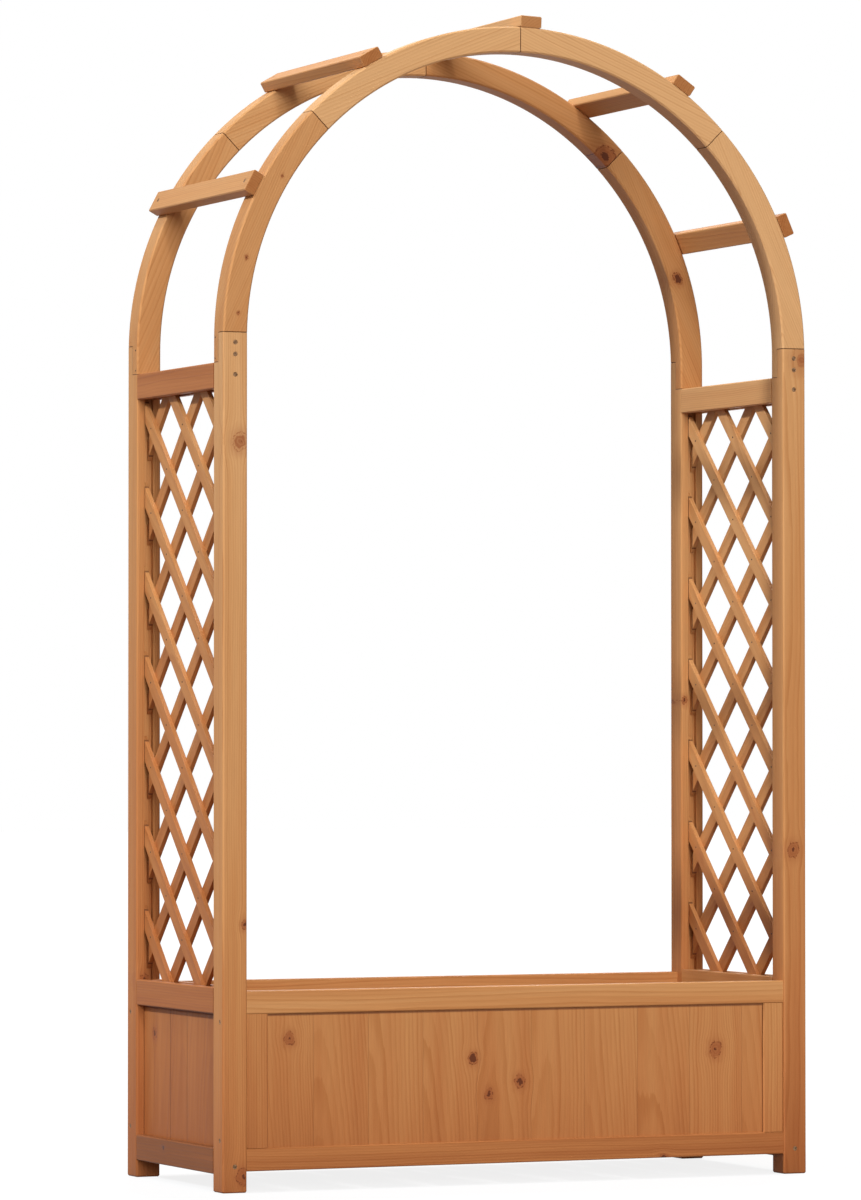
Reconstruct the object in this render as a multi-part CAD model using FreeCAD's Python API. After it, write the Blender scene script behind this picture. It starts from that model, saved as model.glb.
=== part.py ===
import FreeCAD, Part
import math
import os

# Raised garden bed with a lattice at each end and an arch over the top.
# Millimetres. X runs left to right, Y front to back and Z up.
# The origin is on the floor, under the middle of the bed.

# Overall sizes, taken over the posts
width = 1000.0
depth = 400.0

# Posts
post_side = 40.0
post_height = 1310.0
post_edge_radius = 3.0
foot_chamfer = 2.0

# Half-lap joint between a post and the arch leg above it
lap_length = 45.0
lap_above_spring = 10.0

# Arch pieces and the slats that tie the two arches together
arch_edge_break = 2.5
joint_angles = (180.0, 135.0, 90.0)
slat_count = 5
slat_width = 36.0
slat_thickness = 18.0
slat_pitch_angle = 32.0

# Rails and panels of the two ends
side_rail_low = 27.0
side_rail_height = 40.0
panel_clear_height = 204.0
side_panel_thickness = 14.0
groove_depth = 8.0

# Framed panels of the front and the rear
frame_thickness = 22.0
frame_setback = 2.0
frame_rail_height = 35.0
stile_width = 35.0
frame_panel_thickness = 12.0
frame_panel_recess = 4.0

# Trellis at each end
trellis_rail_height = 40.0
strip_width = 22.0
strip_thickness = 7.0
lattice_rows = 7

# Floor of the bed
cleat_side = 18.0
floor_slat_count = 8
floor_slat_gap = 16.0
floor_slat_thickness = 10.0

# Eased edges and clearances
rail_edge_break = 1.5
end_break = 0.8
fit_gap = 0.3
seat_gap = 0.1
overrun = 5.0
tolerance = 1e-5

# Countersunk screws, drawn with a few flats so that many of them stay light
screw_sides = 8
screw_radius = 2.0
screw_head_radius = 4.0
screw_head_height = 2.6
screw_gap = 0.1
lap_screw_length = 34.0
rail_screw_length = 75.0
frame_screw_length = 64.0
slat_screw_length = 42.0
lap_screw_shares = (0.25, 0.65)
low_rail_screw_share = 0.32
frame_screw_inset = 12.0

# Loose tenons across the butt joints
tenon_length = 24.0
tenon_width = 20.0
tenon_thickness = 8.0
tenon_gap = 0.1

# Derived places
half_width = width / 2
half_depth = depth / 2
post_inner_x = half_width - post_side
post_inner_y = half_depth - post_side
post_middle_x = half_width - post_side / 2
post_middle_y = half_depth - post_side / 2
lap_bottom = post_height - lap_length
arch_center_z = post_height - lap_above_spring
arch_outer_radius = half_width
arch_inner_radius = half_width - post_side
arch_middle_radius = half_width - post_side / 2
slat_bottom_radius = arch_outer_radius + seat_gap
slat_top_radius = slat_bottom_radius + slat_thickness
lower_rail_top = side_rail_low + side_rail_height
upper_rail_bottom = lower_rail_top + panel_clear_height
side_rail_top = upper_rail_bottom + side_rail_height
trellis_rail_top = lap_bottom
trellis_rail_bottom = trellis_rail_top - trellis_rail_height
trellis_rail_middle = trellis_rail_top - trellis_rail_height / 2
lattice_pitch = (trellis_rail_middle - side_rail_top) / lattice_rows
frame_front = -half_depth + frame_setback
frame_back = frame_front + frame_thickness
frame_middle_y = frame_front + frame_thickness / 2
frame_panel_front = frame_front + frame_panel_recess
stile_inner_x = post_inner_x - stile_width
floor_bottom = lower_rail_top - floor_slat_thickness
cleat_bottom = floor_bottom - cleat_side

origin = FreeCAD.Vector(0, 0, 0)
x_axis = FreeCAD.Vector(1, 0, 0)
y_axis = FreeCAD.Vector(0, 1, 0)
z_axis = FreeCAD.Vector(0, 0, 1)

# The front left corner is modelled, and these signs mirror it to the other three.
corners = {
    "front_left": (1, 1),
    "front_right": (-1, 1),
    "rear_left": (1, -1),
    "rear_right": (-1, -1),
}


def block(x, y, z):
    """Box between a pair of X values, a pair of Y values and a pair of Z values."""
    low = FreeCAD.Vector(x[0], y[0], z[0])
    return Part.makeBox(x[1] - x[0], y[1] - y[0], z[1] - z[0], low)


def reflect(shape, signs):
    """Mirror image of a front left piece in the corner that the signs name."""
    if signs[0] < 0:
        shape = shape.mirror(origin, x_axis)
    if signs[1] < 0:
        shape = shape.mirror(origin, y_axis)
    return shape


def edges_along(solid, axis):
    """Straight edges of a solid that run along an axis."""
    return [edge for edge in solid.Edges if edge.Curve.Direction.cross(axis).Length < tolerance]


def eased(solid, axis):
    """Take the sharpness off the long edges of a board."""
    return solid.makeChamfer(rail_edge_break, edges_along(solid, axis))


def ease_face(solid, point, size):
    """Chamfer the whole outline of the flat face that holds a point."""
    face = min(solid.Faces, key=lambda each: each.distToShape(Part.Vertex(point))[0])
    return solid.makeChamfer(size, face.Edges)


def aim(shape, start, direction):
    """Move a piece made along minus Z so that it starts at a point and runs along a direction."""
    turn = FreeCAD.Rotation(-z_axis, direction)
    placed = shape.copy()
    placed.Placement = FreeCAD.Placement(start, turn)
    return placed


def ring(radius, z):
    """Closed polygon round Z, the cross section of a screw or of its hole."""
    angles = [2 * math.pi * index / screw_sides for index in range(screw_sides + 1)]
    return Part.makePolygon([FreeCAD.Vector(radius * math.cos(a), radius * math.sin(a), z) for a in angles])


def tapered(*rings):
    """Solid that runs straight from each ring to the next."""
    return Part.makeLoft(list(rings), True, True)


def screw(length):
    """Countersunk screw with its head's face at the origin, running down."""
    head = ring(screw_head_radius, 0)
    neck = ring(screw_radius, -screw_head_height)
    return tapered(head, neck, ring(screw_radius, -length))


def screw_hole(length):
    """Countersunk hole that takes a screw with a small clearance all round."""
    mouth = ring(screw_head_radius + screw_gap, overrun)
    head = ring(screw_head_radius + screw_gap, 0)
    neck = ring(screw_radius + screw_gap, -screw_head_height)
    return tapered(mouth, head, neck, ring(screw_radius + screw_gap, -length - screw_gap))


def arch_point(radius, angle, y):
    """Point on a circle about the arch's centre, at an angle from the right hand springing."""
    turn = math.radians(angle)
    return FreeCAD.Vector(radius * math.cos(turn), y, arch_center_z + radius * math.sin(turn))


def slat_angles():
    """Angles of the cross slats, left to right: the crown slat clears the crown joint."""
    clear_angle = math.degrees(math.asin(slat_width / 2 / arch_outer_radius))
    middle = (slat_count - 1) / 2
    return [90 - clear_angle + slat_pitch_angle * (middle - index) for index in range(slat_count)]


def mirrored_sets(start, direction):
    """The same start and direction in all four corners."""
    sets = []
    for sign_x, sign_y in corners.values():
        spot = FreeCAD.Vector(start.x * sign_x, start.y * sign_y, start.z)
        way = FreeCAD.Vector(direction.x * sign_x, direction.y * sign_y, direction.z)
        sets.append((spot, way))
    return sets


def lap_screw_places():
    """Two screws through each half-lap, from the face that looks away from the bed's middle."""
    places = []
    for share in lap_screw_shares:
        start = FreeCAD.Vector(-post_middle_x, -half_depth, lap_bottom + share * lap_length)
        places += mirrored_sets(start, y_axis)
    return places


def rail_screw_places():
    """One screw into each end of the trellis rails and of the lower side rails."""
    places = []
    for z in (trellis_rail_middle, side_rail_low + low_rail_screw_share * side_rail_height):
        places += mirrored_sets(FreeCAD.Vector(-post_middle_x, -half_depth, z), y_axis)
    return places


def frame_screw_places():
    """Two screws from the outer side of each post into the stile of a framed panel."""
    places = []
    for z in (lower_rail_top + frame_screw_inset, upper_rail_bottom - frame_screw_inset):
        places += mirrored_sets(FreeCAD.Vector(-half_width, frame_middle_y, z), x_axis)
    return places


def slat_screw_places():
    """One screw at each end of every cross slat, towards the arch's centre."""
    places = []
    for angle in slat_angles():
        for y in (-post_middle_y, post_middle_y):
            start = arch_point(slat_top_radius, angle, y)
            inward = FreeCAD.Vector(0, y, arch_center_z) - start
            places.append((start, inward))
    return places


def tenon(start, direction, gap):
    """Loose tenon across a butt joint, or its mortise when given a gap."""
    thin = tenon_thickness / 2 + gap
    wide = tenon_width / 2 + gap
    return aim(block((-thin, thin), (-wide, wide), (-tenon_length - gap, gap)), start, direction)


def tenon_places():
    """Loose tenons in the joints of the arches and at the ends of the upper side rails."""
    places = []
    for side in (1, -1):
        for angle in (joint_angles[1], joint_angles[2], 180 - joint_angles[1]):
            turn = math.radians(angle)
            along = FreeCAD.Vector(-math.sin(turn), 0, math.cos(turn))
            middle = arch_point(arch_middle_radius, angle, -post_middle_y * side)
            places.append((middle - along * (tenon_length / 2), along))
    rail_middle = upper_rail_bottom + side_rail_height / 2
    start = FreeCAD.Vector(-post_middle_x, -post_inner_y - tenon_length / 2, rail_middle)
    return places + mirrored_sets(start, y_axis)


def fastener_groups():
    """Each group of identical fasteners with the holes that take it."""
    screws = {
        "lap_screws": (lap_screw_length, lap_screw_places()),
        "rail_screws": (rail_screw_length, rail_screw_places()),
        "frame_screws": (frame_screw_length, frame_screw_places()),
        "slat_screws": (slat_screw_length, slat_screw_places()),
    }
    groups = {}
    for name, (length, places) in screws.items():
        groups[name] = (
            [aim(screw(length), *place) for place in places],
            [aim(screw_hole(length), *place) for place in places],
        )
    groups["loose_tenons"] = (
        [tenon(*place, 0) for place in tenon_places()],
        [tenon(*place, tenon_gap) for place in tenon_places()],
    )
    return groups


def drilled(piece, holes):
    """Cut every hole that reaches a piece."""
    near = [hole for hole in holes if piece.BoundBox.intersect(hole.BoundBox)]
    if not near:
        return piece
    return piece.cut(near)


def centred_groove(length_axis_span, z, wide):
    """Groove along Y in the middle of a left hand rail."""
    x = (-post_middle_x - wide / 2, -post_middle_x + wide / 2)
    return block(x, length_axis_span, z)


def post():
    """Front left post with its lap tongue and the two stopped grooves that hold panel and lattice."""
    x = (-half_width, -post_inner_x)
    y = (-half_depth, -post_inner_y)
    body = block(x, y, (0, post_height))
    body = body.makeFillet(post_edge_radius, edges_along(body, z_axis))
    middle = FreeCAD.Vector(-post_middle_x, -post_middle_y, 0)
    body = ease_face(body, middle, foot_chamfer)
    body = ease_face(body, middle + z_axis * post_height, end_break)
    lap_x = (x[0] - overrun, x[1] + overrun)
    lap = block(lap_x, (-post_middle_y, y[1] + overrun), (lap_bottom, post_height + overrun))
    groove_y = (-post_inner_y - groove_depth, -post_inner_y + overrun)
    panel_z = (lower_rail_top - groove_depth, upper_rail_bottom + groove_depth)
    lattice_z = (side_rail_top - groove_depth, trellis_rail_bottom + groove_depth)
    panel_groove = centred_groove(groove_y, panel_z, side_panel_thickness + 2 * fit_gap)
    lattice_groove = centred_groove(groove_y, lattice_z, 2 * (strip_thickness + fit_gap))
    return body.cut([lap, panel_groove, lattice_groove])


def side_rail(z, groove_below, groove_above):
    """Left hand rail between two posts, with a groove for what stands below or above it."""
    x = (-half_width, -post_inner_x)
    y = (-post_inner_y, post_inner_y)
    body = eased(block(x, y, z), y_axis)
    long_y = (y[0] - overrun, y[1] + overrun)
    grooves = []
    if groove_below:
        below_z = (z[0] - overrun, z[0] + groove_depth)
        grooves.append(centred_groove(long_y, below_z, groove_below + 2 * fit_gap))
    if groove_above:
        above_z = (z[1] - groove_depth, z[1] + overrun)
        grooves.append(centred_groove(long_y, above_z, groove_above + 2 * fit_gap))
    return body.cut(grooves)


def side_panel():
    """Left hand end panel, held in the grooves of the posts and rails."""
    reach = groove_depth - fit_gap
    x = (-post_middle_x - side_panel_thickness / 2, -post_middle_x + side_panel_thickness / 2)
    y = (-post_inner_y - reach, post_inner_y + reach)
    return block(x, y, (lower_rail_top - reach, upper_rail_bottom + reach))


def lattice_strips(middle_x, rising):
    """One layer of parallel lattice strips at 45 degrees, trimmed to the grooves round them."""
    reach = groove_depth - fit_gap
    y_limit = post_inner_y + reach
    z_limits = (side_rail_top - reach, trellis_rail_bottom + reach)
    x = (middle_x, middle_x + strip_thickness)
    if not rising:
        x = (middle_x - strip_thickness, middle_x)
    window = block(x, (-y_limit, y_limit), z_limits)
    half_length = z_limits[1] - z_limits[0]
    half_strip = strip_width / 2
    level = trellis_rail_middle - lattice_pitch / 2
    places = math.ceil((level + lattice_pitch - z_limits[0] + y_limit) / lattice_pitch)
    strips = []
    for index in range(places):
        strip = block(x, (-half_length, half_length), (-half_strip, half_strip))
        strip.rotate(origin, x_axis, -45 if rising else 45)
        strip.translate(FreeCAD.Vector(0, 0, level + lattice_pitch * (1 - index)))
        strips += strip.common(window).Solids
    return strips


def frame_rail(z, groove_z):
    """Front rail of the framed panel, from post to post."""
    x = (-post_inner_x, post_inner_x)
    body = eased(block(x, (frame_front, frame_back), z), x_axis)
    groove_x = (-stile_inner_x - groove_depth, stile_inner_x + groove_depth)
    return body.cut(block(groove_x, panel_groove_span(), groove_z))


def panel_groove_span():
    """Y values of the groove that holds the front panel."""
    return (frame_panel_front - fit_gap, frame_panel_front + frame_panel_thickness + fit_gap)


def frame_stile():
    """Front left stile, butted between the two frame rails."""
    x = (-post_inner_x, -stile_inner_x)
    z = (lower_rail_top, upper_rail_bottom)
    body = eased(block(x, (frame_front, frame_back), z), z_axis)
    groove_x = (-stile_inner_x - groove_depth, -stile_inner_x + overrun)
    return body.cut(block(groove_x, panel_groove_span(), (z[0] - overrun, z[1] + overrun)))


def frame_panel():
    """Front panel of edge-glued boards, held in the grooves of its frame."""
    reach = groove_depth - fit_gap
    x = (-stile_inner_x - reach, stile_inner_x + reach)
    y = (frame_panel_front, frame_panel_front + frame_panel_thickness)
    return block(x, y, (lower_rail_top - reach, upper_rail_bottom + reach))


def outline_distance(point):
    """Distance from the arch's centre, or from its middle plane below the springing line."""
    return math.hypot(point.x, max(point.z - arch_center_z, 0))


def arch_piece(start, end, foot):
    """Front arch piece between two angles; one with a foot runs straight on down to the lap."""
    y = -half_depth
    middle = (start + end) / 2
    outer = [arch_point(arch_outer_radius, angle, y) for angle in (start, middle, end)]
    inner = [arch_point(arch_inner_radius, angle, y) for angle in (end, middle, start)]
    edges = [Part.Arc(*outer).toShape(), Part.makeLine(outer[2], inner[0]), Part.Arc(*inner).toShape()]
    drop = z_axis * (arch_center_z - lap_bottom)
    if foot:
        edges.append(Part.makeLine(inner[2], inner[2] - drop))
        edges.append(Part.makeLine(inner[2] - drop, outer[0] - drop))
        edges.append(Part.makeLine(outer[0] - drop, outer[0]))
    else:
        edges.append(Part.makeLine(inner[2], outer[0]))
    body = Part.Face(Part.Wire(Part.__sortEdges__(edges))).extrude(y_axis * post_side)
    return ease_outline(body)


def ease_outline(body):
    """Chamfer the edges along the inner and outer outline of an arch piece."""
    long_edges = []
    for edge in body.Edges:
        spot = edge.valueAt((edge.FirstParameter + edge.LastParameter) / 2)
        in_outline = abs(outline_distance(spot) - arch_middle_radius) > post_side / 4
        if edge.BoundBox.YLength < tolerance and in_outline:
            long_edges.append(edge)
    return body.makeChamfer(arch_edge_break, long_edges)


def arch_leg():
    """Front left leg of the arch; its tongue laps behind the post's tongue."""
    start, end = joint_angles[:2]
    body = arch_piece(start, end, True)
    body = ease_face(body, arch_point(arch_middle_radius, end, -post_middle_y), end_break)
    lap_x = (-half_width - overrun, -post_inner_x + overrun)
    lap_y = (-half_depth - overrun, -post_middle_y)
    return body.cut(block(lap_x, lap_y, (lap_bottom - overrun, post_height)))


def arch_crown():
    """Front left crown piece of the arch, from the leg to the crown joint."""
    start, end = joint_angles[1:]
    body = arch_piece(start, end, False)
    for angle in (start, end):
        body = ease_face(body, arch_point(arch_middle_radius, angle, -post_middle_y), end_break)
    return body


def arch_slat(angle):
    """Cross slat that lies on both arches at an angle from the right hand springing."""
    z = (arch_center_z + slat_bottom_radius, arch_center_z + slat_top_radius)
    body = block((-slat_width / 2, slat_width / 2), (-half_depth, half_depth), z)
    body = eased(body, y_axis)
    middle = FreeCAD.Vector(0, half_depth, (z[0] + z[1]) / 2)
    body = ease_face(body, middle, end_break)
    body = ease_face(body, middle - y_axis * depth, end_break)
    body.rotate(FreeCAD.Vector(0, 0, arch_center_z), y_axis, 90 - angle)
    return body


def floor_slat(index):
    """Floor slat that lies across the two cleats, with a drain gap on each side."""
    gaps = floor_slat_gap * (floor_slat_count + 1)
    slat = (2 * post_inner_x - gaps) / floor_slat_count
    left = -post_inner_x + floor_slat_gap + index * (slat + floor_slat_gap)
    y_limit = -frame_back - fit_gap
    return block((left, left + slat), (-y_limit, y_limit), (floor_bottom, lower_rail_top))


def floor_cleat():
    """Front cleat along the lower frame rail, under the ends of the floor slats."""
    x = (-post_inner_x + fit_gap, post_inner_x - fit_gap)
    return block(x, (frame_back, frame_back + cleat_side), (cleat_bottom, floor_bottom))


def wooden_pieces():
    """Every wooden piece by name, before drilling."""
    pieces = {}
    for corner, signs in corners.items():
        pieces["post_" + corner] = reflect(post(), signs)
    for end, signs in (("front", (1, 1)), ("rear", (1, -1))):
        pieces.update(framed_side(end, signs))
        pieces.update(arch(end, signs))
        pieces["floor_cleat_" + end] = reflect(floor_cleat(), signs)
    for side, signs in (("left", (1, 1)), ("right", (-1, 1))):
        pieces.update(end_side(side, signs))
    for index, angle in enumerate(slat_angles(), start=1):
        pieces[f"arch_slat_{index}"] = arch_slat(angle)
    for index in range(floor_slat_count):
        pieces[f"floor_slat_{index + 1}"] = floor_slat(index)
    return pieces


def framed_side(end, signs):
    """Rails, stiles and panel of the front or the rear."""
    top_z = (upper_rail_bottom, upper_rail_bottom + frame_rail_height)
    top_groove = (upper_rail_bottom - overrun, upper_rail_bottom + groove_depth)
    low_z = (lower_rail_top - frame_rail_height, lower_rail_top)
    low_groove = (lower_rail_top - groove_depth, lower_rail_top + overrun)
    right = (-signs[0], signs[1])
    return {
        end + "_top_rail": reflect(frame_rail(top_z, top_groove), signs),
        end + "_bottom_rail": reflect(frame_rail(low_z, low_groove), signs),
        end + "_left_stile": reflect(frame_stile(), signs),
        end + "_right_stile": reflect(frame_stile(), right),
        end + "_panel": reflect(frame_panel(), signs),
    }


def end_side(side, signs):
    """Rails, panel and trellis of the left or the right end."""
    lattice = 2 * strip_thickness
    top_z = (upper_rail_bottom, side_rail_top)
    low_z = (side_rail_low, lower_rail_top)
    trellis_z = (trellis_rail_bottom, trellis_rail_top)
    middle_x = -post_middle_x * signs[0]
    return {
        side + "_top_rail": reflect(side_rail(top_z, side_panel_thickness, lattice), signs),
        side + "_bottom_rail": reflect(side_rail(low_z, 0, side_panel_thickness), signs),
        side + "_panel": reflect(side_panel(), signs),
        side + "_trellis_rail": reflect(side_rail(trellis_z, lattice, 0), signs),
        side + "_lattice_falling_strips": Part.makeCompound(lattice_strips(middle_x, False)),
        side + "_lattice_rising_strips": Part.makeCompound(lattice_strips(middle_x, True)),
    }


def arch(end, signs):
    """The four pieces of the front or the rear arch."""
    right = (-signs[0], signs[1])
    return {
        end + "_arch_left_leg": reflect(arch_leg(), signs),
        end + "_arch_left_crown": reflect(arch_crown(), signs),
        end + "_arch_right_crown": reflect(arch_crown(), right),
        end + "_arch_right_leg": reflect(arch_leg(), right),
    }


def main():
    os.makedirs("parts", exist_ok=True)
    groups = fastener_groups()
    holes = [hole for solids, cuts in groups.values() for hole in cuts]
    nodes = {name: drilled(piece, holes) for name, piece in wooden_pieces().items()}
    for name, (solids, cuts) in groups.items():
        nodes[name] = Part.makeCompound(solids)
    for name, shape in nodes.items():
        shape.exportStep(f"parts/{name}.step")
        print(name, len(shape.Solids), "solids", "valid" if shape.isValid() else "NOT VALID")
    print(len(nodes), "nodes")


main()
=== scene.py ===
# %% [markdown]
# # A raised garden bed under a lattice arch
# The bed is built from stained softwood: four posts, a panelled box, two lattices and two arches
# tied by slats. The packed model already holds every piece at its true size and place, so this
# lesson leaves the shapes alone and spends its effort on wood, screws, light and camera.

# %% Load the packed model
import math
import random

import bmesh
import bpy
import numpy as np
from mathutils import Matrix, Vector


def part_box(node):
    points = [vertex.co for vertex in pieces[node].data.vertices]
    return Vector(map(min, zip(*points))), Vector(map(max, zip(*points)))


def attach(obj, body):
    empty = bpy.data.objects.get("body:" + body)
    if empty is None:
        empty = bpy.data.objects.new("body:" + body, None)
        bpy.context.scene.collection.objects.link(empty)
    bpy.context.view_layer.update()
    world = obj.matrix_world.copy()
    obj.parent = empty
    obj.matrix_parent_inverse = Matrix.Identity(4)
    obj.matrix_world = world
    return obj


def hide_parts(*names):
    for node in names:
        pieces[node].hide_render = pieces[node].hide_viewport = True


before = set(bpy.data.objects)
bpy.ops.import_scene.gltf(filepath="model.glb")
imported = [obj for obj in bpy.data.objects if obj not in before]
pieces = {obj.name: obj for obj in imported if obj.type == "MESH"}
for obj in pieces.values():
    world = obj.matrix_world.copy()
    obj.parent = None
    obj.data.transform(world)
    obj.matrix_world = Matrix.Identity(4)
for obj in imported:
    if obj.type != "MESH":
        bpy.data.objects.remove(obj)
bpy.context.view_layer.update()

# %% [markdown]
# ## A desk for laying out shader nodes
# Every finish below is a small network of nodes. It could be drawn by hand in the shader editor,
# but a script can be read and run again. Linking sockets one by one takes many lines, so a helper
# lays each node down and links what it is given: a socket is linked, a number is typed in.

# %% The node desk


class Desk:
    """Lays out nodes in one tree. Most methods give back the new node's output socket."""

    def __init__(self, tree):
        self.tree = tree

    def node(self, kind, **settings):
        made = self.tree.nodes.new(kind)
        for name, value in settings.items():
            setattr(made, name, value)
        return made

    def plug(self, value, socket):
        if isinstance(value, bpy.types.NodeSocket):
            self.tree.links.new(value, socket)
        else:
            socket.default_value = value

    def math(self, operation, *values):
        made = self.node("ShaderNodeMath", operation=operation)
        for value, socket in zip(values, made.inputs):
            self.plug(value, socket)
        return made.outputs[0]

    def chain(self, operation, first, *others):
        """The same operation over any number of values."""
        for other in others:
            first = self.math(operation, first, other)
        return first

    def vector(self, operation, *values):
        made = self.node("ShaderNodeVectorMath", operation=operation)
        for value, socket in zip(values, made.inputs):
            self.plug(value, socket)
        return made.outputs["Value" if operation in ("DOT_PRODUCT", "LENGTH") else "Vector"]

    def fade(self, value, low, high, start=0.0, end=1.0):
        """Smooth step: start below low, end above high."""
        made = self.node("ShaderNodeMapRange", interpolation_type="SMOOTHSTEP")
        for given, socket in zip((value, low, high, start, end), made.inputs):
            self.plug(given, socket)
        return made.outputs[0]

    def blend(self, factor, first, second, how="MIX"):
        made = self.node("ShaderNodeMix", data_type="RGBA", blend_type=how)
        for given, index in ((factor, 0), (first, 6), (second, 7)):
            self.plug(given, made.inputs[index])
        return made.outputs[2]

    def noise(self, position, stretch, detail=2.0):
        """Noise whose cells are as many to the metre along each axis as stretch says."""
        made = self.node("ShaderNodeTexNoise")
        self.plug(self.vector("MULTIPLY", position, stretch), made.inputs["Vector"])
        self.plug(1.0, made.inputs["Scale"])
        self.plug(detail, made.inputs["Detail"])
        return made

    def split(self, vector):
        made = self.node("ShaderNodeSeparateXYZ")
        self.plug(vector, made.inputs[0])
        return made.outputs

    def join(self, *values):
        made = self.node("ShaderNodeCombineXYZ")
        for value, socket in zip(values, made.inputs):
            self.plug(value, socket)
        return made.outputs[0]

    def group(self, name, **values):
        """Place a finished group. Input names are written with _ for a space."""
        made = self.node("ShaderNodeGroup", node_tree=bpy.data.node_groups[name])
        for key, value in values.items():
            self.plug(value, made.inputs[key.replace("_", " ")])
        return made.outputs


print("desk with", len([name for name in vars(Desk) if name[0] != "_"]), "ways to lay nodes")

# %% A start for every group
NOISE_MIDDLE = (0.5, 0.5, 0.5)
NOISE_RANGE = (0.2, 0.8)


def start_group(name, inputs, outputs):
    """New shader group. Each input or output is a name with its kind: Float, Vector or Color."""
    tree = bpy.data.node_groups.new(name, "ShaderNodeTree")
    for sockets, way in ((inputs, "INPUT"), (outputs, "OUTPUT")):
        for label, kind in sockets.items():
            tree.interface.new_socket(label, in_out=way, socket_type="NodeSocket" + kind)
    desk = Desk(tree)
    given = desk.node("NodeGroupInput").outputs
    results = desk.node("NodeGroupOutput").inputs
    return desk, given, results


print("noise mostly lies between", *NOISE_RANGE)

# %% [markdown]
# ## Board space
# Wood grain runs along a board, so each board needs its own axes: X along the grain, Y across the
# face and Z through the thickness. Unwrapping every piece would do it too, but three dot products
# turn the model's coordinates into these without any seams. All later groups then work on any
# board, whichever way it stands.

# %% Group: board space
desk, given, results = start_group(
    "board space",
    {"Along": "Vector", "Across": "Vector", "Through": "Vector"},
    {"Position": "Vector"},
)
where = desk.node("ShaderNodeTexCoord").outputs["Object"]
axes = ("Along", "Across", "Through")
desk.plug(desk.join(*[desk.vector("DOT_PRODUCT", where, given[axis]) for axis in axes]),
          results["Position"])
print("board space ready,", len(desk.tree.nodes), "nodes")

# %% [markdown]
# ## Knots
# A knot is a branch that the trunk grew round. It shows as a red-brown patch with a broken dark
# rim and a dark heart, and the grain parts on both sides of it. It could be painted into an image,
# but a group can be placed on any board and never blurs. Its Heart value sets the kind. Below zero
# the knot has healed, with a soft edge and no dark middle. From 0.1 up it is crisp, and its heart
# grows with the value. The group gives a mask for the colour, and it pulls the position towards
# the knot's middle line, so that the growth rings drawn later part there.

# %% Group: knot, the outline
KNOT_STRETCH = 0.82
KNOT_LUMPS, KNOT_WOBBLE = (95, 95, 40), (0.011, 0.011, 0)

desk, given, results = start_group(
    "knot",
    {"Position": "Vector", "Centre": "Vector", "Radius": "Float",
     "Heart": "Float", "Knot": "Float"},
    {"Position": "Vector", "Knot": "Float"},
)
offset = desk.vector("SUBTRACT", given["Position"], given["Centre"])
lumps = desk.noise(given["Position"], KNOT_LUMPS, 3.0).outputs["Color"]
wobble = desk.vector("MULTIPLY", desk.vector("SUBTRACT", lumps, NOISE_MIDDLE), KNOT_WOBBLE)
flat = desk.vector("MULTIPLY", desk.vector("ADD", offset, wobble), (KNOT_STRETCH, 1, 0))
distance = desk.math("DIVIDE", desk.vector("LENGTH", flat), given["Radius"])
print("knot outline wobbles by up to", round(500 * KNOT_WOBBLE[0], 1), "mm")

# %% Group: knot, the dark marks
HEALED, CRISP = -0.1, 0.1
KNOT_CRUMBS, HEART_EDGE = (420, 420, 60), (0.50, 0.24)
RIM_STARTS, RIM_STOPS, RIM_BREAKS = (0.62, 0.9), (1.15, 0.95), (0.38, 0.6, 0.3, 0.88)
YEAR_LINES, LINE_SHADE, BODY_SHADE = 9.0, 0.2, 0.45
HALO_REACH, HALO_SHADE = 2.5, 0.28

crumbs = desk.noise(given["Position"], KNOT_CRUMBS, 3.0).outputs[0]
outer, inner = [desk.math("ADD", given["Heart"], edge) for edge in HEART_EDGE]
heart = desk.fade(desk.math("MULTIPLY_ADD", crumbs, 0.5, distance), outer, inner)
rim = desk.chain(
    "MULTIPLY", desk.fade(distance, *RIM_STARTS), desk.fade(distance, *RIM_STOPS),
    desk.fade(crumbs, *RIM_BREAKS), desk.fade(given["Heart"], HEALED, CRISP, 0.3, 1.0))
year_lines = desk.math("SINE", desk.math("MULTIPLY", distance, YEAR_LINES))
year_lines = desk.math("MULTIPLY_ADD", desk.math("ABSOLUTE", year_lines), LINE_SHADE, BODY_SHADE)
soft_from = desk.fade(given["Heart"], HEALED, CRISP, 0.2, 0.75)
body = desk.math("MULTIPLY", desk.fade(distance, 1.1, soft_from), year_lines)
halo = desk.fade(distance, HALO_REACH, 0.9, 0.0, HALO_SHADE)
desk.plug(desk.chain("MAXIMUM", heart, rim, body, halo, given["Knot"]), results["Knot"])
print("knot halo reaches", HALO_REACH, "radii")

# %% Group: knot, the parted grain
KNOT_PULL, KNOT_REACH = 0.7, 2.1

near = desk.math("DIVIDE", distance, KNOT_REACH)
near = desk.math("EXPONENT", desk.math("MULTIPLY", desk.math("MULTIPLY", near, near), -1.0))
pull = desk.math("MULTIPLY", desk.split(offset)[1], desk.math("MULTIPLY", near, -KNOT_PULL))
parted = desk.vector("ADD", given["Position"], desk.join(0.0, pull, 0.0))
desk.plug(parted, results["Position"])
print("knot ready,", len(desk.tree.nodes), "nodes")

# %% [markdown]
# ## Boards side by side
# The panels are glued up from several boards, and each lattice layer is many strips. Separate
# meshes would need a material each. This group counts which board a point is in instead, moves
# every board to another place in an imaginary trunk, and gives each a tone of its own. A board is
# rarely sawn true to the trunk, so a slight tilt draws some of its rings into pointed arches. The
# group also marks the hairline joint between two boards.

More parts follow.
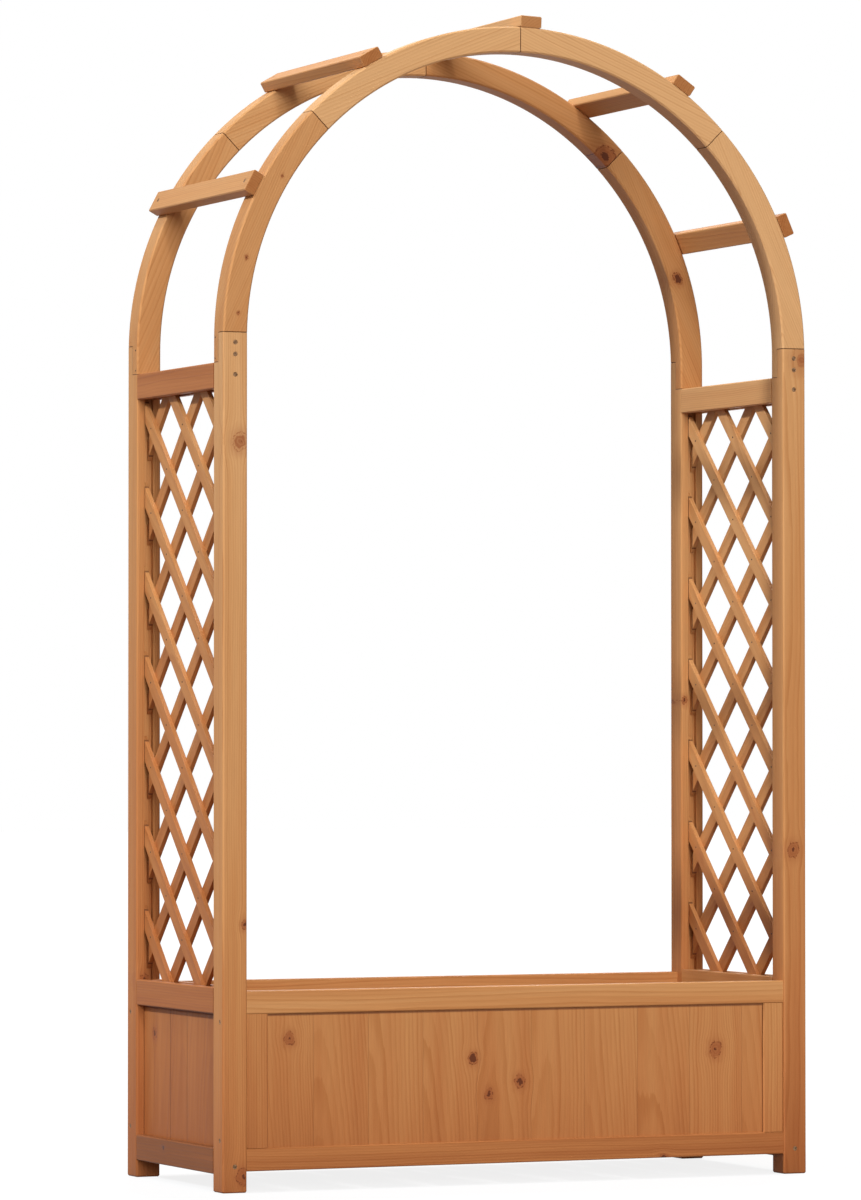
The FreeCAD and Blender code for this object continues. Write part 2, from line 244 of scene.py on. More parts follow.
# %% Group: boards side by side, which board
desk, given, results = start_group(
    "boards side by side",
    {"Position": "Vector", "Board Width": "Float", "First Edge": "Float", "Seed": "Float"},
    {"Position": "Vector", "Tone": "Float", "Joint": "Float"},
)
along, across, through = desk.split(given["Position"])
count = desk.math("SUBTRACT", across, given["First Edge"])
count = desk.math("DIVIDE", count, given["Board Width"])
board = desk.math("FLOOR", count)
inside = desk.math("SUBTRACT", desk.math("SUBTRACT", count, board), 0.5)
chance = desk.node("ShaderNodeTexWhiteNoise", noise_dimensions="2D")
desk.plug(desk.join(board, given["Seed"], 0.0), chance.inputs["Vector"])
luck = desk.split(chance.outputs["Color"])
print("every board draws", len(luck), "lucky numbers for its place")

# %% Group: boards side by side, place, tone and joint
HAIRLINE = 0.0005
TRUNK_LENGTH = 4.0
SIDE_SPREAD, SIDE_FIRST = 0.09, 0.015
DEPTH_SPREAD, DEPTH_FIRST = 0.06, 0.025
TILT_MOST, TILT_LEAST = -0.035, -0.015

side = desk.math("MULTIPLY_ADD", luck[1], SIDE_SPREAD, SIDE_FIRST)
depth = desk.math("MULTIPLY_ADD", luck[2], DEPTH_SPREAD, DEPTH_FIRST)
tilt = desk.math("MULTIPLY", along, desk.fade(luck[0], 0.0, 1.0, TILT_MOST, TILT_LEAST))
moved = desk.join(
    desk.math("ADD", along, desk.math("MULTIPLY", luck[0], TRUNK_LENGTH)),
    desk.math("ADD", desk.math("MULTIPLY", inside, given["Board Width"]), side),
    desk.chain("ADD", through, tilt, depth),
)
desk.plug(moved, results["Position"])
tone = desk.math("SUBTRACT", desk.math("MULTIPLY", chance.outputs["Value"], 2.0), 1.0)
desk.plug(tone, results["Tone"])
edge = desk.math("SUBTRACT", 0.5, desk.math("ABSOLUTE", inside))
edge = desk.math("MULTIPLY", edge, given["Board Width"])
desk.plug(desk.fade(edge, HAIRLINE, 0.0), results["Joint"])
print("boards side by side ready,", len(desk.tree.nodes), "nodes")

# %% [markdown]
# ## Growth rings and fibres
# A trunk is a bundle of cones, one a year. Distance from its core, divided by the ring width,
# counts the years, and each year ends in a thin dark line of late wood. A wave texture would
# repeat evenly, while a board cut through this solid pattern shows straight lines, arches or arcs
# on its ends without any drawing. Slow noise bends the trunk, and two finer noises stretched along
# the grain give the streaks and the fibres.

# %% Group: growth rings
TRUNK_BENDS, TRUNK_SWAY = (1.6, 7, 7), (0, 0.02, 0.02)
RIPPLES, RIPPLE_DEPTH = (18, 140, 140), 0.0014
LATE_STARTS, LATE_STOPS, FAINTEST_YEAR = (0.25, 0.88), (1.0, 0.9), 0.35
STREAKS, FIBRES = (1.5, 42, 42), (16, 850, 850)

desk, given, results = start_group(
    "growth rings",
    {"Position": "Vector", "Ring Width": "Float"},
    {"Late Wood": "Float", "Streak": "Float", "Fibre": "Float"},
)
sway = desk.noise(given["Position"], TRUNK_BENDS).outputs["Color"]
sway = desk.vector("MULTIPLY", desk.vector("SUBTRACT", sway, NOISE_MIDDLE), TRUNK_SWAY)
bent = desk.vector("ADD", given["Position"], sway)
reach = desk.vector("LENGTH", desk.vector("MULTIPLY", bent, (0, 1, 1)))
ripple = desk.noise(given["Position"], RIPPLES).outputs[0]
ripple = desk.math("MULTIPLY", desk.math("SUBTRACT", ripple, 0.5), RIPPLE_DEPTH)
years = desk.math("DIVIDE", desk.math("ADD", reach, ripple), given["Ring Width"])
year = desk.math("FLOOR", years)
season = desk.math("SUBTRACT", years, year)
chance = desk.node("ShaderNodeTexWhiteNoise", noise_dimensions="1D")
desk.plug(year, chance.inputs["W"])
late = desk.chain(
    "MULTIPLY", desk.fade(season, *LATE_STARTS), desk.fade(season, *LATE_STOPS),
    desk.fade(chance.outputs["Value"], 0.0, 1.0, FAINTEST_YEAR, 1.0))
desk.plug(late, results["Late Wood"])
desk.plug(desk.noise(given["Position"], STREAKS, 3.0).outputs[0], results["Streak"])
desk.plug(desk.noise(given["Position"], FIBRES, 2.0).outputs[0], results["Fibre"])
print("growth rings ready,", len(desk.tree.nodes), "nodes")

# %% [markdown]
# ## End grain and worn edges
# Stain soaks deeper into the cut ends of the fibres, so ends are darker. Edges lose a little stain
# to sanding, so they are paler. Both could be painted by hand on every piece, but they follow from
# its shape. Where the surface faces along the grain, the dot product of its normal and the grain
# direction is near one. A rounded normal differs from the flat one only at an edge.

# %% Group: end grain
END_CRISPNESS = 3.0

desk, given, results = start_group("end grain", {"Along": "Vector"}, {"End": "Float"})
normal = desk.node("ShaderNodeNewGeometry").outputs["True Normal"]
facing = desk.math("ABSOLUTE", desk.vector("DOT_PRODUCT", normal, given["Along"]))
desk.plug(desk.math("POWER", facing, END_CRISPNESS), results["End"])
print("end grain ready,", len(desk.tree.nodes), "nodes")

# %% Group: worn edge
BEVEL_SAMPLES = 4
EDGE_BENDS = (0.01, 0.16)

desk, given, results = start_group("worn edge", {"Radius": "Float"}, {"Edge": "Float"})
soft = desk.node("ShaderNodeBevel", samples=BEVEL_SAMPLES)
desk.plug(given["Radius"], soft.inputs["Radius"])
normal = desk.node("ShaderNodeNewGeometry").outputs["True Normal"]
bend = desk.math("SUBTRACT", 1.0, desk.vector("DOT_PRODUCT", normal, soft.outputs[0]))
desk.plug(desk.fade(bend, *EDGE_BENDS), results["Edge"])
print("worn edge ready,", len(desk.tree.nodes), "nodes")

# %% [markdown]
# ## Seams
# Where two pieces of an arch butt together, stain and dust gather in the seam and draw a thin dark
# line. The same planes paint shade elsewhere: a thin line of painted shade in the gap round a
# panel and where a lattice strip enters its groove, and a band of painted shadow under a rail. A
# groove cut into the mesh would be finer than its faces, so a seam is a plane here: the group
# measures the distance to it and darkens what lies close. A lap joint shows its seam on one side
# only, so a second plane can cut the line off.

# %% Group: seam
# Besides dark joints, the same line paints shade in gaps and a shadow band under the rails.
SEAM_CORE = 0.4

desk, given, results = start_group(
    "seam",
    {"Point": "Vector", "Facing": "Vector", "Half Width": "Float",
     "Side": "Vector", "Side From": "Float", "Seam": "Float"},
    {"Seam": "Float"},
)
where = desk.node("ShaderNodeTexCoord").outputs["Object"]
gap = desk.vector("SUBTRACT", where, given["Point"])
gap = desk.math("ABSOLUTE", desk.vector("DOT_PRODUCT", gap, given["Facing"]))
core = desk.math("MULTIPLY", given["Half Width"], SEAM_CORE)
line = desk.fade(gap, given["Half Width"], core)
shown = desk.vector("DOT_PRODUCT", where, given["Side"])
shown = desk.math("GREATER_THAN", shown, given["Side From"])
line = desk.math("MULTIPLY", line, shown)
desk.plug(desk.math("MAXIMUM", line, given["Seam"]), results["Seam"])
print("seam ready,", len(desk.tree.nodes), "nodes")

# %% [markdown]
# ## The stain
# One translucent stain covers the whole bed. The ramp makes it paler towards the top and deeper,
# redder and darkest at the feet. Part of this is the stain, redder low down, and part is painted
# light: the fall of the light from the top of the bed to its feet is painted into the colour. One
# colour for each piece would look flat, so a colour ramp holds the tones from the feet to the top.
# Some boards drank more stain than others, and some pieces stand in shade, so each piece may move
# up or down the ramp, and a piece that falls below its lower end grows darker still, which is
# deeper stain and painted shade as well. The group then mixes all the marks above into one colour,
# one roughness and one height for the bump, so that all boards match.

# %% Group: softwood stain, the ramp
STAIN_AND_LIGHT_TONES = ((0.330, 0.107, 0.031), (0.440, 0.168, 0.053), (0.520, 0.240, 0.084),
               (0.578, 0.302, 0.120), (0.648, 0.372, 0.165))
PALEST_HEIGHT = 1.8
STREAK_RANGE, STREAK_SHIFT = (0.25, 0.75), 0.11
FIBRE_DARK, FIBRE_PALE = 0.955, 1.045

desk, given, results = start_group(
    "softwood stain",
    {"Late Wood": "Float", "Streak": "Float", "Fibre": "Float", "Knot": "Float",
     "Joint": "Float", "Seam": "Float", "End": "Float", "Edge": "Float", "Tone": "Float"},
    {"Colour": "Color", "Roughness": "Float", "Height": "Float"},
)
# Paler with height: partly a paler stain high up, partly painted light falling from above.
level = desk.split(desk.node("ShaderNodeTexCoord").outputs["Object"])[2]
paler_with_height = desk.math("DIVIDE", desk.math("MAXIMUM", level, 0.0), PALEST_HEIGHT)
paler_with_height = desk.math("SQRT", paler_with_height)
streaks = desk.fade(given["Streak"], *STREAK_RANGE, -STREAK_SHIFT, STREAK_SHIFT)
stained = desk.chain("ADD", paler_with_height, streaks, given["Tone"])
ramp = desk.node("ShaderNodeValToRGB")
stops = ramp.color_ramp.elements
while len(stops) < len(STAIN_AND_LIGHT_TONES):
    stops.new(0.5)
for index, tone in enumerate(STAIN_AND_LIGHT_TONES):
    stops[index].position = index / (len(STAIN_AND_LIGHT_TONES) - 1)
    stops[index].color = (*tone, 1)
desk.plug(stained, ramp.inputs[0])
fibres = desk.fade(given["Fibre"], *NOISE_RANGE, FIBRE_DARK, FIBRE_PALE)
colour = desk.blend(1.0, ramp.outputs[0], desk.join(fibres, fibres, fibres), "MULTIPLY")
print("stain ramp with", len(stops), "tones")

# %% Group: softwood stain, marks on the colour
WHITE = (1, 1, 1, 1)
LATE_WOOD = (0.87, 0.80, 0.73, 1)
SANDED = (1.03, 1.05, 1.07, 1)
END_WOOD = (0.70, 0.56, 0.46, 1)
KNOT_WOOD = (0.285, 0.082, 0.026, 1)
KNOT_HEART = (0.095, 0.024, 0.009, 1)
SEAM_DIRT_AND_SHADE = (0.085, 0.024, 0.012, 1)
KNOT_FADE, HEART_FADE = (0.0, 0.7, 0.0, 0.85), (0.6, 1.0, 0.0, 0.9)
BELOW_RAMP_FROM, BELOW_RAMP_SHADE = -0.45, 0.6
JOINT_SHADE, SEAM_SHADE = 0.22, 0.72

for mark, tint in (("Late Wood", LATE_WOOD), ("Edge", SANDED), ("End", END_WOOD)):
    colour = desk.blend(1.0, colour, desk.blend(given[mark], WHITE, tint), "MULTIPLY")
for steps, tint in ((KNOT_FADE, KNOT_WOOD), (HEART_FADE, KNOT_HEART)):
    colour = desk.blend(desk.fade(given["Knot"], *steps), colour, tint)
# Darker still below the ramp: deeper stain, and painted shade at the feet and on shaded pieces.
below_ramp = desk.fade(stained, BELOW_RAMP_FROM, 0.0, BELOW_RAMP_SHADE, 1.0)
colour = desk.blend(1.0, colour, desk.join(below_ramp, below_ramp, below_ramp), "MULTIPLY")
# The Seam mask darkens real joints and also paints shade in gaps and a shadow under the rails.
for mark, shade, tint in (("Joint", JOINT_SHADE, KNOT_HEART), ("Seam", SEAM_SHADE, SEAM_DIRT_AND_SHADE)):
    colour = desk.blend(desk.math("MULTIPLY", given[mark], shade), colour, tint)
desk.plug(colour, results["Colour"])
print("colour mixed,", len(desk.tree.nodes), "nodes so far")

# %% Group: softwood stain, roughness and height
PLAIN_ROUGHNESS, FIBRE_HEIGHT = 0.54, 0.5
rougher_by = {"Late Wood": -0.07, "End": 0.22, "Knot": -0.1}
higher_by = {"Late Wood": 0.6, "Joint": -1.5, "Seam": -3.0}

roughness = PLAIN_ROUGHNESS
for mark, change in rougher_by.items():
    roughness = desk.math("MULTIPLY_ADD", given[mark], change, roughness)
desk.plug(roughness, results["Roughness"])
height = desk.math("MULTIPLY", given["Fibre"], FIBRE_HEIGHT)
for mark, change in higher_by.items():
    height = desk.math("MULTIPLY_ADD", given[mark], change, height)
desk.plug(height, results["Height"])
print("softwood stain ready,", len(desk.tree.nodes), "nodes")

# %% [markdown]
# ## One finish for each board
# No two boards come from the same place in a trunk, and one material for all would show the same
# grain twice. A function makes a material for one piece from its grain direction, its place in the
# trunk, its ring width, its tone, its knots and its seams. A seeded generator named after the
# piece picks the values, so every run gives the same boards.

# %% The place in the trunk
TRUNK_SIDES, TRUNK_DEPTHS = (0.02, 0.1), (0.025, 0.09)


def trunk_place(piece, axes, luck):
    """Where a piece sits in its trunk: the shift that takes its middle to that place."""
    low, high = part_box(piece)
    middle = (low + high) / 2
    wanted = (luck.uniform(0, TRUNK_LENGTH), luck.choice((-1, 1)) * luck.uniform(*TRUNK_SIDES),
              luck.uniform(*TRUNK_DEPTHS))
    return [want - middle.dot(Vector(axis)) for want, axis in zip(wanted, axes)]


farthest = math.hypot(TRUNK_SIDES[1], TRUNK_DEPTHS[1])
print("board middles lie up to", round(farthest, 2), "m off the core")

# %% All marks of one board
RING_WIDTHS, SEEDS = (0.0028, 0.0044), (1, 90)
PANEL_RINGS, PANEL_STREAKS = 0.75, 0.6
TONE_SPREAD, BOARD_TONE_SPREAD = 0.05, 0.025
EDGE_RADIUS = 0.0007


def wood_marks(desk, piece, axes, knots, boards, tone, seams):
    """Lay out all groups for one piece and give back the stain's outputs."""
    luck = random.Random(piece)
    place = desk.group("board space", Along=axes[0], Across=axes[1], Through=axes[2])["Position"]
    knot = joint = seam = 0.0
    for centre, radius, heart in knots:
        spot = [Vector(centre).dot(Vector(axis)) for axis in axes]
        marks = desk.group("knot", Position=place, Centre=spot, Radius=radius, Heart=heart,
                           Knot=knot)
        place, knot = marks["Position"], marks["Knot"]
    shade = tone + luck.uniform(-TONE_SPREAD, TONE_SPREAD)
    for point, facing, half, side, start in seams:
        seam = desk.group("seam", Point=point, Facing=facing, Half_Width=half, Side=side,
                          Side_From=start, Seam=seam)["Seam"]
    if boards:
        width, first = boards
        picked = desk.group("boards side by side", Position=place, Board_Width=width,
                            First_Edge=first, Seed=luck.uniform(*SEEDS))
        place, joint = picked["Position"], picked["Joint"]
        shade = desk.math("MULTIPLY_ADD", picked["Tone"], BOARD_TONE_SPREAD, shade)
    else:
        place = desk.vector("ADD", place, trunk_place(piece, axes, luck))
    panel = piece.endswith("panel")
    ring_width = luck.uniform(*RING_WIDTHS) * (PANEL_RINGS if panel else 1)
    rings = desk.group("growth rings", Position=place, Ring_Width=ring_width)
    streak = rings["Streak"]
    if panel:
        streak = desk.math("MULTIPLY_ADD", streak, PANEL_STREAKS, (1 - PANEL_STREAKS) / 2)
    end = desk.group("end grain", Along=axes[0])["End"]
    edge = desk.group("worn edge", Radius=EDGE_RADIUS)["Edge"]
    return desk.group("softwood stain", Late_Wood=rings["Late Wood"], Streak=streak,
                      Fibre=rings["Fibre"], Knot=knot, Joint=joint, Seam=seam, Tone=shade,
                      End=end, Edge=edge)


print("rings from", *[round(1000 * width, 1) for width in RING_WIDTHS], "mm wide")

# %% The board finish
BUMP_DEPTH = 0.00022
STAIN_SHEEN = 0.12


def board_finish(piece, axes, knots=(), boards=None, tone=0.0, seams=()):
    """Stained softwood for one piece. Axes are along, across and through its grain."""
    material = bpy.data.materials.new("stained_" + piece)
    material.use_nodes = True
    desk = Desk(material.node_tree)
    shader = material.node_tree.nodes["Principled BSDF"]
    shader.inputs["Specular IOR Level"].default_value = STAIN_SHEEN
    stain = wood_marks(desk, piece, axes, knots, boards, tone, seams)
    desk.plug(stain["Colour"], shader.inputs["Base Color"])
    desk.plug(stain["Roughness"], shader.inputs["Roughness"])
    soft = desk.node("ShaderNodeBevel", samples=BEVEL_SAMPLES)
    desk.plug(EDGE_RADIUS, soft.inputs["Radius"])
    bump = desk.node("ShaderNodeBump")
    desk.plug(BUMP_DEPTH, bump.inputs["Distance"])
    desk.plug(stain["Height"], bump.inputs["Height"])
    desk.plug(soft.outputs[0], bump.inputs["Normal"])
    desk.plug(bump.outputs[0], shader.inputs["Normal"])
    return material


def dress(piece, material):
    """Give every material slot of a piece the same finish."""
    slots = pieces[piece].material_slots
    for slot in slots:
        slot.material = material
    if not slots:
        pieces[piece].data.materials.append(material)


print("board finish ready, edges eased by", 1000 * EDGE_RADIUS, "mm")

# %% [markdown]
# ## Which way the grain runs
# Posts, stiles and panels have upright grain. Front and rear rails run along the bed, and end
# rails and slats run across it. A lattice strip is cut along its slope. An arch piece is sawn from
# a straight plank, so its grain follows the chord of its curve and not the curve itself. Axes
# could be typed in for every piece, but a family of pieces shares them, so the name finds them.

# %% Grain axes
X, Y, Z = (1, 0, 0), (0, 1, 0), (0, 0, 1)
SLOPE = math.sqrt(0.5)
UPRIGHT = (Z, X, Y)
LENGTHWAYS = (X, Z, Y)
ENDWAYS = (Y, Z, X)
END_BOARD = (Z, Y, X)
SLATS = (Y, X, Z)
FALLING = ((0, SLOPE, SLOPE), (0, -SLOPE, SLOPE), X)
RISING = ((0, SLOPE, -SLOPE), (0, SLOPE, SLOPE), X)
arch_angles = {"left_leg": 155, "left_crown": 112.5, "right_crown": 67.5, "right_leg": 25}


def round_the_arch(angle):
    """Direction along the arch at an angle, and direction outwards."""
    turn = math.radians(angle)
    return (-math.sin(turn), 0, math.cos(turn)), (math.cos(turn), 0, math.sin(turn))


def family_axes(piece):
    """Grain axes by the piece's name."""
    if "_arch_" in piece:
        return (*round_the_arch(arch_angles[piece.split("_arch_")[1]]), Y)
    if "falling" in piece:
        return FALLING
    if "rising" in piece:
        return RISING
    if piece.startswith(("arch_slat", "floor_slat", "loose")):
        return SLATS
    if piece.startswith(("left_", "right_")):
        return END_BOARD if piece.endswith("panel") else ENDWAYS
    if piece.endswith("_rail") or piece.startswith("floor_cleat"):
        return LENGTHWAYS
    return UPRIGHT


wooden = [piece for piece in pieces if not piece.endswith("screws")]
print(len({family_axes(piece) for piece in wooden}), "grain directions for", len(wooden), "pieces")

# %% [markdown]
# ## Dressing the pieces
# Knots could be scattered by chance, but their pattern makes a board recognisable, so those that
# the eye notices are given one by one. The panels get the widths of their glued boards, and each
# lattice layer is cut into its strips. A tone moves a piece along the stain: most of the front
# arch is paler, and the left end, the rear arch and some slats are darker, partly from deeper
# stain and partly as painted shade where they lie in shadow. Last come the seams and the painted
# shade lines, found by the kind of piece.

# %% Where the knots are
# Each knot has its middle, its radius and its heart.
knot_marks = {
    "front_panel": [((-0.388, -0.19, 0.232), 0.0092, 0.12), ((-0.079, -0.19, 0.195), 0.0085, 0.55),
                    ((0.001, -0.19, 0.158), 0.0095, 0.42), ((-0.052, -0.19, 0.139), 0.0075, 0.30),
                    ((0.342, -0.19, 0.200), 0.0112, 0.14)],
    "front_bottom_rail": [((0.248, -0.198, 0.033), 0.006, 0.5)],
    "left_panel": [((-0.487, 0.115, 0.228), 0.009, 0.35)],
    "left_bottom_rail": [((-0.49, 0.045, 0.055), 0.006, 0.5)],
    "right_panel": [((0.487, -0.06, 0.14), 0.010, 0.3)],
    "rear_panel": [((0.21, 0.19, 0.22), 0.010, 0.4), ((-0.16, 0.19, 0.12), 0.007, 0.2),
                   ((-0.33, 0.19, 0.17), 0.009, 0.3)],
    "post_front_left": [((-0.472, -0.2, 1.1425), 0.0125, 0.0),
                        ((-0.464, -0.2, 0.408), 0.007, 0.25),
                        ((-0.466, -0.2, 0.024), 0.0115, 0.18)],
    "post_front_right": [((0.478, -0.2, 0.513), 0.011, 0.15), ((0.494, -0.2, 1.292), 0.015, -0.1)],
    "post_rear_left": [((-0.485, 0.2, 0.31), 0.010, 0.3)],
    "post_rear_right": [((0.466, 0.2, 0.752), 0.006, 0.3)],
    "front_arch_left_leg": [((-0.403, -0.2, 1.552), 0.003, 0.3),
                            ((-0.462, -0.2, 1.424), 0.003, 0.3),
                            ((-0.475, -0.2, 1.338), 0.0025, 0.3)],
    "rear_arch_right_crown": [((0.322, 0.16, 1.643), 0.017, 0.3)],
    "rear_arch_right_leg": [((0.453, 0.16, 1.447), 0.009, 0.6)],
}
print(sum(len(marks) for marks in knot_marks.values()), "knots on", len(knot_marks), "pieces")

# %% How deep the stain and painted shade are
# The left end, the rear arch and the slats are darker partly from deeper stain and partly as
# painted shade.
stain_and_shade_depth = {
    "front_top_rail": 0.1, "front_panel": -0.02,
    "front_left_stile": -0.05, "front_right_stile": 0.1,
    "left_top_rail": -0.36, "left_panel": -0.22,
    "left_bottom_rail": -0.5, "left_trellis_rail": -0.72,
    "left_lattice_rising_strips": -0.4, "left_lattice_falling_strips": -0.28,
    "right_trellis_rail": -0.1,
    "right_lattice_rising_strips": -0.16, "right_lattice_falling_strips": -0.1,
    "post_front_right": -0.1, "post_rear_left": -0.2, "post_rear_right": -0.16,
    "front_arch_left_leg": -0.28, "front_arch_left_crown": 0.06,
    "front_arch_right_crown": 0.08, "front_arch_right_leg": 0.14,
    "rear_arch_left_leg": -0.3, "rear_arch_left_crown": -0.15,
    "rear_arch_right_crown": -0.52, "rear_arch_right_leg": -0.44,
    "arch_slat_1": -0.34, "arch_slat_2": -0.42, "arch_slat_4": -0.32, "arch_slat_5": -0.4,
}
print("stain from", min(stain_and_shade_depth.values()), "to", max(stain_and_shade_depth.values()), "along the ramp")

# %% How the panels and lattices are cut
# Each has the width of a board and where its first board starts.
LATTICE_STEP, LATTICE_TOP = 0.1334, 1.2450
STRIP_PITCH = LATTICE_STEP * SLOPE
FIRST_STRIP = (LATTICE_TOP - LATTICE_STEP / 2) * SLOPE - STRIP_PITCH / 2
board_cuts = {"front_panel": (0.092, -0.44), "rear_panel": (0.092, -0.455),
              "left_panel": (0.070, -0.162), "right_panel": (0.070, -0.162)}
board_cuts.update({piece: (STRIP_PITCH, FIRST_STRIP) for piece in wooden if "_lattice_" in piece})
print(len(board_cuts), "pieces of several boards")

# %% Where the seams are
# Each seam has a point on its plane, the way it faces, its half width and where it is cut off.
# Panel and lattice gaps are painted shade, and the band under a rail is a painted shadow.
SEAM_HALF, PANEL_GAP_SHADE, LATTICE_GROOVE_SHADE, PAINTED_RAIL_SHADOW = 0.0008, 0.0011, 0.0018, 0.0050
ARCH_MIDDLE = (0, 0, 1.3)
LAP_FOOT, LAP_HEAD, LAP_DEPTH = 1.265, 1.31, 0.18
FRONT_EDGE, END_EDGE, RAIL_UNDERSIDE = 0.425, 0.16, 0.271
OPEN_GLUE_LINES = (-0.022, 0.048)
EVERYWHERE = ((0, 0, 0), -1)
arch_ends = {"left_leg": (135,), "left_crown": (135, 90),
             "right_crown": (90, 45), "right_leg": (45,)}


def lap_seams(piece):
    """The head, the foot and the side of the half-lap between a post and an arch leg."""
    front = -1 if "front" in piece else 1
    over, start = ((0, 0, -1), -LAP_HEAD) if piece.endswith("_leg") else (Z, LAP_FOOT)
    return [((0, 0, LAP_HEAD), Z, SEAM_HALF, (0, front, 0), LAP_DEPTH),
            ((0, 0, LAP_FOOT), Z, SEAM_HALF, (0, -front, 0), -LAP_DEPTH),
            ((0, front * LAP_DEPTH, 0), Y, SEAM_HALF / 2, over, start)]


def panel_seams(piece):
    """Painted shade in the gaps at both sides of a panel, a painted shadow band under its rail and
    any open glue line.
    """
    at_end = piece.startswith(("left", "right"))
    facing, edge = (Y, END_EDGE) if at_end else (X, FRONT_EDGE)
    planes = [(tuple(sign * edge * part for part in facing), facing, PANEL_GAP_SHADE, *EVERYWHERE)
              for sign in (-1, 1)]
    # A painted shadow band under the rail.
    planes.append(((0, 0, RAIL_UNDERSIDE), Z, PAINTED_RAIL_SHADOW, *EVERYWHERE))
    if at_end:
        planes += [((0, line, 0), Y, SEAM_HALF, *EVERYWHERE) for line in OPEN_GLUE_LINES]
    return planes


def seams_of(piece):
    """All seams of a piece by its name, with the painted shade lines in gaps and under rails."""
    planes = []
    if piece.startswith("post_") or piece.endswith("_leg"):
        planes += lap_seams(piece)
    if "_arch_" in piece:
        planes += [(ARCH_MIDDLE, round_the_arch(angle)[0], SEAM_HALF, *EVERYWHERE)
                   for angle in arch_ends[piece.split("_arch_")[1]]]
    if piece.endswith("_panel"):
        planes += panel_seams(piece)
    if "_lattice_" in piece:
        # Painted shade where the strips enter the grooves of the posts.
        planes += [((0, sign * END_EDGE, 0), Y, LATTICE_GROOVE_SHADE, *EVERYWHERE) for sign in (-1, 1)]
    return planes


print(sum(len(seams_of(piece)) for piece in wooden), "seams")

# %% Stain every wooden piece
for piece in wooden:
    finish = board_finish(piece, family_axes(piece), knot_marks.get(piece, ()),
                          board_cuts.get(piece), stain_and_shade_depth.get(piece, 0.0), seams_of(piece))
    dress(piece, finish)
print(len(wooden), "wooden pieces stained")

# %% [markdown]
# ## Screws
# Real countersunk screws have a flat head with a rounded rim, a cross-shaped recess and a cone
# under it. The model only has plain pegs, so each peg gives its place, direction and length to a
# detailed screw that stands in for it. A bump would fake the recess from one side only, so the
# head is a real mesh: rings of points for the round parts and a plus sign for the recess, joined
# by faces. The steel has browned outdoors, so its finish runs between two tones with fine
# scratches.

# %% Group: dull metal
CLOUDS, SCRATCHES = (260, 260, 260), (2400, 500, 2400)

desk, given, results = start_group(
    "dull metal", {"Position": "Vector"}, {"Cloud": "Float", "Scratch": "Float"})
desk.plug(desk.noise(given["Position"], CLOUDS, 4.0).outputs[0], results["Cloud"])
desk.plug(desk.noise(given["Position"], SCRATCHES, 2.0).outputs[0], results["Scratch"])
print("dull metal ready,", len(desk.tree.nodes), "nodes")

# %% Steel
RIM_WEAR, RIM_BRIGHTER = 0.0006, 0.25
TARNISH_STEPS = (0.35, 0.7)
SCRATCH_DEPTH = 0.00005
BARE_METAL, METAL_SHEEN = 0.4, 0.2
SMOOTHEST, ROUGHEST = 0.42, 0.62


def metal_finish(name, dark, bright):
    """Weathered metal: clouds of tarnish between two tones, fine scratches and worn rims."""
    material = bpy.data.materials.new(name)
    material.use_nodes = True
    desk = Desk(material.node_tree)
    shader = material.node_tree.nodes["Principled BSDF"]
    shader.inputs["Metallic"].default_value = BARE_METAL
    shader.inputs["Specular IOR Level"].default_value = METAL_SHEEN
    marks = desk.group("dull metal", Position=desk.node("ShaderNodeTexCoord").outputs["Object"])
    edge = desk.group("worn edge", Radius=RIM_WEAR)["Edge"]
    tarnish = desk.math("MULTIPLY_ADD", edge, RIM_BRIGHTER, marks["Cloud"])
    tarnish = desk.fade(tarnish, *TARNISH_STEPS)
    desk.plug(desk.blend(tarnish, dark, bright), shader.inputs["Base Color"])
    roughness = desk.fade(marks["Scratch"], *NOISE_RANGE, SMOOTHEST, ROUGHEST)
    desk.plug(roughness, shader.inputs["Roughness"])
    bump = desk.node("ShaderNodeBump")
    desk.plug(SCRATCH_DEPTH, bump.inputs["Distance"])
    desk.plug(marks["Scratch"], bump.inputs["Height"])
    desk.plug(bump.outputs[0], shader.inputs["Normal"])
    return material


screw_metal = metal_finish("zinc_screw_metal", (0.11, 0.052, 0.023, 1), (0.33, 0.20, 0.105, 1))
nail_metal = metal_finish("nail_metal", (0.03, 0.018, 0.012, 1), (0.10, 0.065, 0.045, 1))
print("finishes", screw_metal.name, nail_metal.name)

# %% Loops of points


def ring(mesh, radius, depth, steps):
    """A circle of points, with depth measured down the screw."""
    turns = [2 * math.pi * step / steps for step in range(steps)]
    return [mesh.verts.new((radius * math.cos(turn), radius * math.sin(turn), -depth))
            for turn in turns]


def cross(mesh, arm, half, depth):
    """The twelve corners of a plus sign."""
    quarter = [(arm, -half), (arm, half), (half, half)]
    corners = []
    for turn in range(4):
        corners += quarter
        quarter = [(-y, x) for x, y in quarter]
    return [mesh.verts.new((x, y, -depth)) for x, y in corners]


def wall(mesh, upper, lower):
    """Faces between two loops of the same length."""
    for index in range(len(upper)):
        after = (index + 1) % len(upper)
        mesh.faces.new((upper[index], upper[after], lower[after], lower[index]))


def loop_edges(mesh, loop):
    """The edges that close a loop of points."""
    return [mesh.edges.new((loop[index - 1], loop[index])) for index in range(len(loop))]


print("rings, crosses and walls ready")

# %% One screw
RIM_STEPS = 24
HEAD_RINGS = ((0.0034, 0.0003), (0.0037, 0.00055), (0.0037, 0.0008), (0.0019, 0.0029))
CROSS_TOP, CROSS_FLOOR = (0.0020, 0.00055), (0.0012, 0.0004)
CROSS_DEPTH = 0.0017


